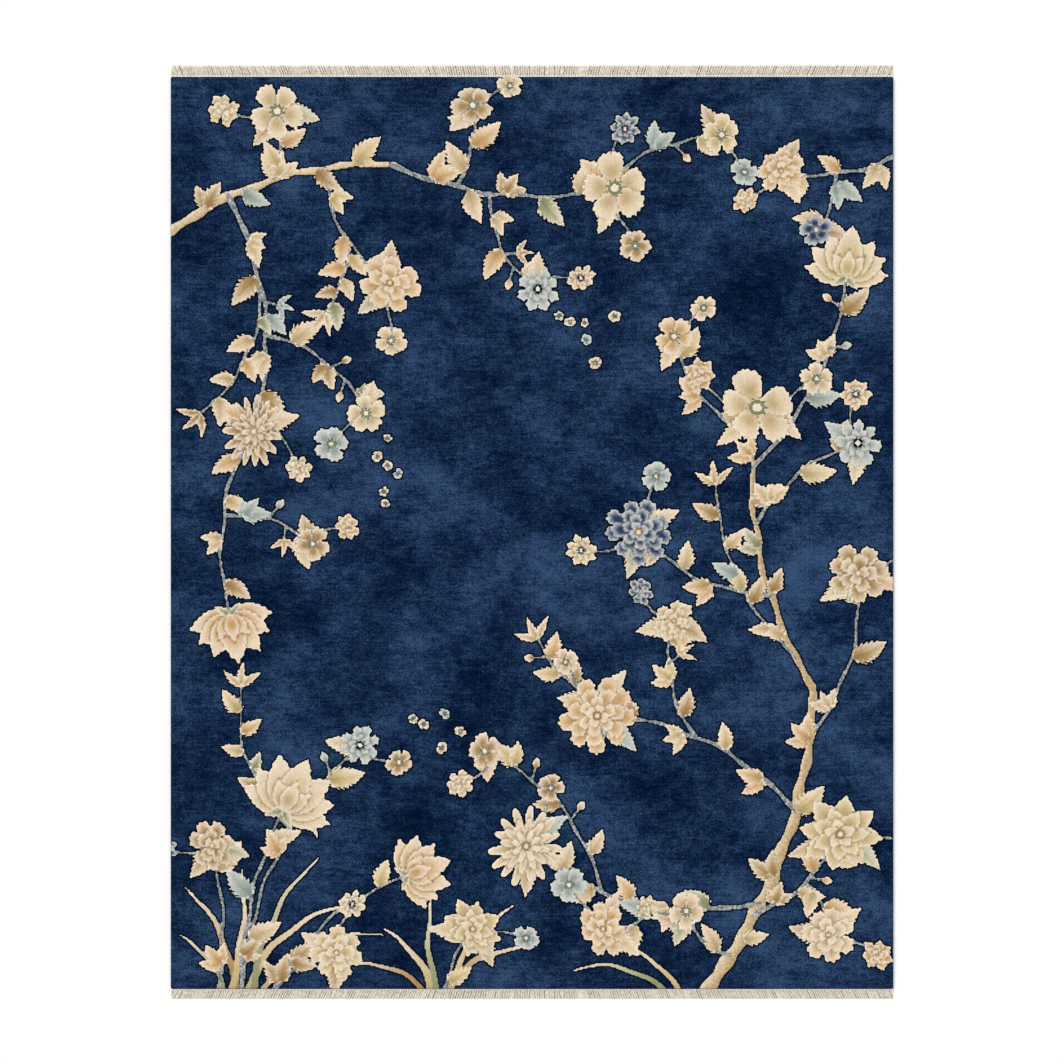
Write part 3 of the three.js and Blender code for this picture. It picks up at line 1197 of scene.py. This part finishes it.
# What varies the wool's and the cotton's tone. The first layer of the field, the motifs and the
# cotton is their fibres, which are part of the bump too.
FIELD_LAYERS = (
    Layer(0.35, 620),
    Layer(1.0, 1, 2, 0.6, (1.5, 2.0, 1)),
    Layer(2.3, 1, 6, 0.92, (3.2, 4.4, 1)),
    Layer(0.55, 1, 3, 0.6, (14, 130, 1)),
    Layer(1.1, 210, 2, 0.6),
)
MOTIF_LAYERS = (Layer(0.30, 620), Layer(0.34, 34, 3, 0.6))
COTTON_LAYERS = (Layer(0.30, 900), Layer(0.40, 60, 3, 0.6))
BACK_LAYERS = (Layer(0.3, 40, 4),)
HUE_LAYERS = (Layer(0.06, 60),)
MOTIF_STRENGTH = 0.57
COTTON_STRENGTH = 0.65
# How strongly the tufts' painted shade darkens the hollows between them and pales their crowns, in the
# field and in the motifs
FIELD_TUFT_SHADE = 0.9
MOTIF_TUFT_SHADE = 0.30
FIBRE_HEIGHT = 0.3

# Where along a cloth's value each dye comes
Stop = namedtuple("Stop", "position dye")
FIELD_STOPS = (Stop(0.1, "field_deep"), Stop(0.5, "field_middle"), Stop(0.95, "field_worn"))
# On the underside the colour follows the knots' heights: painted shade on the foundation between knots and
# at the knots' edges, painted highlight at their crowns
BACK_STOPS = (
    Stop(0.40, "bark"), Stop(0.50, "field_deep"), Stop(0.70, "field_middle"), Stop(1.0, "field_worn")
)


def dye_ramp(tree, value, stops, dyes):
    return ramp(tree, value, [(stop.position, getattr(dyes, stop.dye)) for stop in stops])


def balanced(tree, parts):
    """The weighed sum, which stays at a half where every part is at a half"""
    return weighed(tree, parts, 0.5 - 0.5 * sum(weight for _, weight in parts))


def stored_colour(tree, parts, strength):
    """The colour stored with the piece, made lighter and darker by the parts"""
    yarn = add_node(tree, "ShaderNodeAttribute", attribute_name=YARN_AND_SHADE_COLOUR).outputs["Color"]
    inputs = {0: yarn, "Scale": weighed(tree, parts, strength)}
    return add_node(tree, "ShaderNodeVectorMath", inputs, operation="SCALE").outputs[0]


def field_wool(sizes, dyes):
    """Navy wool with cloudy abrash, thin weft streaks, and single tufts that are a bump and also painted
    shade, paler at their crowns and darker between them
    """
    material, tree, place = new_tree("navy_wool")
    dome = tufts(tree, place, sizes.knot)
    layers = layered(tree, place, FIELD_LAYERS)
    # Painted shade: the tuft heights darken the hollows between tufts and pale their crowns
    value = balanced(tree, layers + [(dome, FIELD_TUFT_SHADE)])
    dyed_wool = {
        "Hue": balanced(tree, layered(tree, place, HUE_LAYERS)),
        "Color": dye_ramp(tree, value, FIELD_STOPS, dyes),
    }
    colour = add_node(tree, "ShaderNodeHueSaturation", dyed_wool).outputs[0]
    height = weighed(tree, ((dome, 1.0), (layers[0][0], FIBRE_HEIGHT)))
    return finished_cloth(material, WOOL, colour, height)


def back_wool(sizes, dyes):
    """The rug's underside: flat rows of knots with painted shade, paler at their crowns, with the
    foundation showing between them in a grey that is partly painted shade
    """
    material, tree, place = new_tree("knotted_back")
    dome = tufts(tree, place, sizes.knot, BACK_SCATTER)
    # Painted shade and highlight: the knots' heights set their colour
    value = weighed(tree, [(dome, 1.0)] + layered(tree, place, BACK_LAYERS))
    return finished_cloth(material, WOOL, dye_ramp(tree, value, BACK_STOPS, dyes), dome)


def motif_wool(sizes):
    """Wool in each knot's own dye, uneven as hand-spun yarn takes it, with painted shade between its tufts
    """
    material, tree, place = new_tree("dyed_wool")
    layers = layered(tree, place, MOTIF_LAYERS)
    dome = tufts(tree, place, sizes.knot)
    # Painted shade: the tuft heights darken the dye between tufts
    colour = stored_colour(tree, layers + [(dome, MOTIF_TUFT_SHADE)], MOTIF_STRENGTH)
    height = weighed(tree, ((dome, 1.0), (layers[0][0], FIBRE_HEIGHT)))
    return finished_cloth(material, WOOL, colour, height)


def fringe_cotton():
    """Undyed cotton with each strand's own tone, the sunk strands darkened with painted shade"""
    material, tree, place = new_tree("twisted_cotton")
    layers = layered(tree, place, COTTON_LAYERS)
    return finished_cloth(material, COTTON, stored_colour(tree, layers, COTTON_STRENGTH), layers[0][0])


FLOOR_CLOUD = Layer(1.0, 3)
FLOOR_CLOUD_SHADE = 0.99
FLOOR_ROUGHNESS = 0.9
FLOOR_SPECULAR = 0.1


def pale_floor(dyes):
    """A matte floor with the faintest cloud in it"""
    material, tree, place = new_tree("pale_floor")
    pale = np.array(dyes.floor)
    stops = ((0.0, pale * FLOOR_CLOUD_SHADE), (1.0, pale))
    colour = ramp(tree, noise(tree, place, FLOOR_CLOUD), stops)
    inputs = {"Base Color": colour, "Roughness": FLOOR_ROUGHNESS, "Specular IOR Level": FLOOR_SPECULAR}
    return surfaced(material, inputs)


# Pieces

# Leaves west and east of this line are two pieces
LEAF_PARTING = 0.2

# How far a knot's colour runs into its neighbours'
MOTIF_BLEND = 0.7
BRANCH_BLEND = 0.3


def knot_motif(context, name, mask, blend=MOTIF_BLEND):
    """One family of motifs as a carved relief, rooted a little below the field's face"""
    sizes = context.scene.rug_sizes
    chart = charted(sizes.knot)
    relief = np.pad(chart.relief, 1, constant_values=EDGE_RELIEF)
    corner = (relief[1:, 1:] + relief[1:, :-1] + relief[:-1, 1:] + relief[:-1, :-1]) / 4
    east, north = np.meshgrid(chart.east_edges, chart.north_edges) + chart.aside
    east = np.clip(east, PILE_LOW.x + MOTIF_EDGE_INSET, PILE_HIGH.x - MOTIF_EDGE_INSET)
    north = np.clip(north, PILE_LOW.y + MOTIF_EDGE_INSET, PILE_HIGH.y - MOTIF_EDGE_INSET)
    field = pile_top(east, north, sizes)
    shape = closed_relief(east, north, field + sizes.carving * corner, field - MOTIF_ROOT_DEPTH, mask)
    material = bpy.data.materials.get("dyed_wool") or motif_wool(sizes)
    piece = mesh_object(name, shape.points, shape.faces, shape.map_points, material)
    colours = knot_colours(chart, context.scene.rug_dyes, mask)
    painted = np.repeat(colours[mask][shape.owners][:, None], 4, 1)
    upper = blended_corners(chart, colours, mask)
    painted[:len(upper)] += blend * (upper - painted[:len(upper)])
    paint(piece, painted)


class RUG_OT_knot_motifs(Operator):
    """Knot the branches, the leaves, the small blossoms and the large flowers"""

    bl_idname = "rug.knot_motifs"
    bl_label = "Knot the Motifs"

    def execute(self, context):
        chart = charted(context.scene.rug_sizes.knot)
        western = chart.east[None, :] < LEAF_PARTING
        knot_motif(context, "branches", chart.family == BRANCH, BRANCH_BLEND)
        knot_motif(context, "leaves_west", (chart.family == LEAF) & western)
        knot_motif(context, "leaves_east", (chart.family == LEAF) & ~western)
        knot_motif(context, "blossoms", chart.family == BLOSSOM)
        knot_motif(context, "flowers", chart.family == FLOWER)
        return {"FINISHED"}


# The fringe

Strands = namedtuple("Strands", "root tip reach lift tone twist")
FRINGE_SEED = 23
STRAND_STEPS = 6
STRAND_SIDES = 4
PLIES = 2
PLY_SHARE = 0.56
TWIST_TURNS = 0.9
TIP_JITTER = 0.0020
LENGTH_JITTER = 0.0016
FLOOR_CLEARANCE = 0.0001
LIFT_JITTER = 0.0010
LIFT_RATE = 3
BUNCH_SHARE = 0.5
BEND_JITTER = 0.0005
FAN_WIDTH = 0.3
SHORTEST_CUT = 0.2
SUNK_EVERY = 3
# How far the painted shade darkens the sunk strands
DEEPEST_SUNK_SHADE = 0.8
SUNK_SHADE_BIAS = 0.8
LEAST_TONE = 0.96
TONE_RANGE = 0.14
# Darker tones, the painted shade of the sunk strands among them, are turned warmer
TONE_WARMTH = (0.8, 1.0, 1.25)
STITCH_PITCH = 0.0117
STITCH_TONE = 0.22
WEB_ROWS = 5
WEB_WEAVE = 0.25
WEB_TONE = 1.08

# Where the tubes and the web lie in the baked map, and how a tube's two end faces lie in its column
MAP_ROWS = 8
TUBE_BAND = 0.88
TUBE_SIDE_MARGIN = 0.05
TUBE_END_MARGIN = 0.02
CAP_ACROSS = ((0.0, 0.3, 0.6, 0.9), (0.9, 0.6, 0.3, 0.0))
CAP_ALONG = ((0.0, 0.05, 0.05, 0.0), (1.0, 0.95, 0.95, 1.0))
WEB_UPPER_FROM = 0.90
WEB_LOWER_FROM = 0.96
WEB_BAND = 0.04
FRINGE_NODES = ("fringe_north", "fringe_south")


def draw_strands(sizes, depth):
    """The chance sizes of one end's strands, from the left.

    Every third strand is sunk to the floor and darkened with painted shade, and the outermost are cut off
    along the pile's sides."""
    chance = np.random.default_rng(FRINGE_SEED)
    count = sizes.locks * sizes.lock_strands
    half = PILE_WIDTH / 2 - sizes.strand / 2
    root = np.linspace(-half, half, count)
    bunch = BUNCH_SHARE * TIP_JITTER * np.repeat(chance.normal(size=sizes.locks), sizes.lock_strands)
    lean = sizes.fan * np.tanh(root / FAN_WIDTH) + bunch + TIP_JITTER * (chance.random(count) - 0.5)
    kept = np.clip((half - np.abs(root)) / np.maximum(np.abs(lean), TIP_JITTER), SHORTEST_CUT, 1)
    tip = np.clip(root + kept * lean, -half, half)
    reach = kept * (depth - sizes.web_depth - LENGTH_JITTER * chance.random(count) ** 2)
    sunk = np.arange(count) % SUNK_EVERY == 0
    lift = np.where(sunk, 0, LIFT_JITTER * chance.random(count))
    tone = LEAST_TONE + TONE_RANGE * chance.random(count)
    # Painted shade: the sunk strands lie lowest and are darkened as if shadowed by the strands above them
    tone[sunk] *= 1 - DEEPEST_SUNK_SHADE * chance.random(count)[sunk] ** SUNK_SHADE_BIAS
    return Strands(root, tip, reach, lift, tone, chance.random((2, count)))


def strand_tubes(strands, sizes, start, outward):
    """Points of every ply of every strand, as rings round its line: strand, ply, step, side, axis"""
    share = np.linspace(0, 1, STRAND_STEPS + 1)
    bend = BEND_JITTER * np.sin(pi * share + tau * strands.twist[1][:, None]) * share
    east = strands.root[:, None] + (strands.tip - strands.root)[:, None] * share + bend
    begin = start - outward * sizes.web_depth / 2
    north = begin + outward * (strands.reach[:, None] + sizes.web_depth / 2) * share
    up = sizes.strand / 2 + FLOOR_CLEARANCE + strands.lift[:, None] * np.clip(LIFT_RATE * share, 0, 1)
    line = np.stack((east, north, up), -1)[:, None, :, None, :]

    ply = np.arange(PLIES)[None, :, None, None]
    turn = tau * (TWIST_TURNS * share + strands.twist[0][:, None])[:, None, :, None] + tau * ply / PLIES
    around = tau * np.arange(STRAND_SIDES) / STRAND_SIDES
    ply_radius = sizes.strand / 2 * PLY_SHARE
    offset = sizes.strand / 2 - ply_radius
    sideways = offset * np.cos(turn) + ply_radius * np.cos(around)
    upward = offset * np.sin(turn) + ply_radius * np.sin(around)
    return line + np.stack((sideways, np.zeros_like(sideways), upward), -1)


def tube_mesh(count, outward):
    """Four-sided faces of closed tubes of rings, and their places in the baked map.

    In the map each tube is unrolled in a column of its own, in several rows."""
    step, side = np.divmod(np.arange(STRAND_STEPS * STRAND_SIDES)[:, None], STRAND_SIDES)
    step = step + (0, 1, 1, 0)
    side = side + (0, 0, 1, 1)
    first = np.arange(STRAND_SIDES)
    last = STRAND_STEPS * STRAND_SIDES + first[::-1]
    faces = np.concatenate((step * STRAND_SIDES + side % STRAND_SIDES, [first], [last]))
    if outward < 0:
        faces = faces[:, ::-1]
    across = np.concatenate((side / STRAND_SIDES, CAP_ACROSS))
    along = np.concatenate((step / STRAND_STEPS, CAP_ALONG))
    across = TUBE_SIDE_MARGIN + (1 - 2 * TUBE_SIDE_MARGIN) * across
    along = TUBE_END_MARGIN + (1 - 2 * TUBE_END_MARGIN) * along

    tube = np.arange(count)[:, None, None]
    columns = -(-count // MAP_ROWS)
    column_share = (tube % columns + across) / columns
    row_share = (tube // columns + along) * TUBE_BAND / MAP_ROWS
    faces = faces + (STRAND_STEPS + 1) * STRAND_SIDES * tube
    return faces.reshape(-1, 4), np.stack((column_share, row_share), -1).reshape(-1, 4, 2)


def weave_web(sizes, inner, outward, warp_count):
    """The flat-woven web as a closed relief, with bands of its own in the baked map"""
    warps = np.linspace(PILE_LOW.x, PILE_HIGH.x, warp_count + 1)
    wefts = np.sort(inner + outward * np.linspace(0, sizes.web_depth, WEB_ROWS + 1))
    over = np.add.outer(np.arange(len(wefts)), np.arange(len(warps))) % 2
    top = sizes.web_height * (1 - WEB_WEAVE * over)
    every_cell = np.ones((WEB_ROWS, warp_count), bool)
    web = closed_relief(*np.meshgrid(warps, wefts), top, 0.0, every_cell)
    place = web.points[web.faces][..., :2] - (PILE_LOW.x, wefts[0])
    place /= (PILE_WIDTH, sizes.web_depth)
    upper = np.arange(len(web.faces)) < every_cell.size
    place[..., 1] *= WEB_BAND
    place[..., 1] += np.where(upper[:, None], WEB_UPPER_FROM, WEB_LOWER_FROM)
    return web._replace(map_points=place)


def tie_fringe(context, node):
    """One end's fringe: twisted strands, fanned out, on a narrow flat-woven web"""
    sizes = context.scene.rug_sizes
    low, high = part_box(node)
    outward = 1 if low.y > 0 else -1
    inner = low.y if outward > 0 else high.y
    strands = draw_strands(sizes, high.y - low.y)
    tubes = strand_tubes(strands, sizes, inner + outward * sizes.web_depth, outward).reshape(-1, 3)
    tube_faces, tube_map = tube_mesh(len(strands.root) * PLIES, outward)
    web = weave_web(sizes, inner, outward, len(strands.root))
    points = np.concatenate((tubes, web.points))
    faces = np.concatenate((tube_faces, web.faces + len(tubes)))
    map_points = np.concatenate((tube_map, web.map_points))
    material = bpy.data.materials.get("twisted_cotton") or fringe_cotton()
    piece = mesh_object(node + "_strands", points, faces, map_points, material)

    stitch = np.cos(tau * web.points[web.faces][..., 0].mean(1) / STITCH_PITCH)
    strand_tone = np.repeat(strands.tone, len(tube_faces) // len(strands.tone))
    tone = np.concatenate((strand_tone, WEB_TONE + STITCH_TONE * stitch))
    cotton = np.array(context.scene.rug_dyes.cotton)
    # The strands' tones include the painted shade of the sunk strands
    paint(piece, np.clip(tone[:, None, None] ** np.array(TONE_WARMTH) * cotton, 0, 1))
    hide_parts(node)


class RUG_OT_tie_fringe(Operator):
    """Tie the strands and weave the web at both ends"""

    bl_idname = "rug.tie_fringe"
    bl_label = "Tie the Fringe"

    def execute(self, context):
        for node in FRINGE_NODES:
            tie_fringe(context, node)
        return {"FINISHED"}


class RUG_OT_knot_field(Operator):
    bl_idname = "rug.knot_field"
    bl_label = "Knot the Field"

    def execute(self, context):
        sizes = context.scene.rug_sizes
        east, north = np.meshgrid(
            edged_steps(PILE_LOW.x, PILE_HIGH.x), edged_steps(PILE_LOW.y, PILE_HIGH.y)
        )
        east, north = round_corners(east, north, sizes.shoulder)
        top = pile_top(east, north, sizes)
        every_cell = np.ones((east.shape[0] - 1, east.shape[1] - 1), bool)
        shape = closed_relief(east, north, top, PILE_LOW.z, every_cell)
        material = field_wool(sizes, context.scene.rug_dyes)
        piece = mesh_object("pile_field", shape.points, shape.faces, shape.map_points, material)
        piece.data.materials.append(back_wool(sizes, context.scene.rug_dyes))
        for face in piece.data.polygons[every_cell.size:2 * every_cell.size]:
            face.material_index = 1
        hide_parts("rug_pile")
        return {"FINISHED"}


# The stage

FLOOR_SIZE = 80.0
FLOOR_DROP = 0.0003

# The camera takes in this width at the pile's upper face
FRAME_WIDTH = 3.5908
LENS_MM = 100.0
SENSOR_MM = 36.0

WORLD_STRENGTH = 0.72
KEY_STRENGTH = 1.9
KEY_SPREAD = 40

# The key's tilt in degrees, about the X axis and then about the Y axis
KEY_TILT_X = -30
KEY_TILT_Y = -38


class RUG_OT_set_stage(Operator):
    """Lay a pale floor, and set a soft light and a camera straight above the rug"""

    bl_idname = "rug.set_stage"
    bl_label = "Set the Stage"

    def execute(self, context):
        scene = context.scene
        bpy.ops.mesh.primitive_plane_add(size=FLOOR_SIZE, location=(0, 0, -FLOOR_DROP))
        floor = context.object
        floor.name = "floor"
        floor.data.materials.append(pale_floor(scene.rug_dyes))

        world = bpy.data.worlds.new("studio")
        world.use_nodes = True
        background = world.node_tree.nodes["Background"]
        background.inputs["Color"].default_value = (1, 1, 1, 1)
        background.inputs["Strength"].default_value = WORLD_STRENGTH
        scene.world = world

        key = bpy.data.lights.new("key", "SUN")
        key.energy = KEY_STRENGTH
        key.angle = radians(KEY_SPREAD)
        lamp = placed("key", key)
        lamp.rotation_euler = (radians(KEY_TILT_X), radians(KEY_TILT_Y), 0)

        camera = bpy.data.cameras.new("camera")
        camera.lens = LENS_MM
        camera.sensor_width = SENSOR_MM
        scene.camera = placed("camera", camera)
        scene.camera.location = (0, 0, PILE_HIGH.z + FRAME_WIDTH * LENS_MM / SENSOR_MM)
        scene.view_settings.view_transform = "Standard"
        return {"FINISHED"}


class RUG_PT_panel(Panel):
    """Lists the rug's sizes and dyes, and the steps that build it"""

    bl_idname = "RUG_PT_panel"
    bl_label = "Hand-Knotted Rug"
    bl_space_type = "VIEW_3D"
    bl_region_type = "UI"
    bl_category = "Rug"

    def draw(self, context):
        layout = self.layout
        for settings in (context.scene.rug_sizes, context.scene.rug_dyes):
            box = layout.box()
            for name in settings.__annotations__:
                box.prop(settings, name)
        for step in STEPS:
            layout.operator(step.bl_idname)


STEPS = (
    RUG_OT_knot_motifs,
    RUG_OT_tie_fringe,
    RUG_OT_knot_field,
    RUG_OT_set_stage,
)
CLASSES = (RugSizes, RugDyes, *STEPS, RUG_PT_panel)


def register():
    for item in CLASSES:
        bpy.utils.register_class(item)
    bpy.types.Scene.rug_sizes = PointerProperty(type=RugSizes)
    bpy.types.Scene.rug_dyes = PointerProperty(type=RugDyes)


def unregister():
    del bpy.types.Scene.rug_dyes
    del bpy.types.Scene.rug_sizes
    for item in reversed(CLASSES):
        bpy.utils.unregister_class(item)


def main():
    register()
    bpy.ops.rug.knot_motifs()
    bpy.ops.rug.tie_fringe()
    bpy.ops.rug.knot_field()
    bpy.ops.rug.set_stage()


if __name__ == "__main__":
    main()
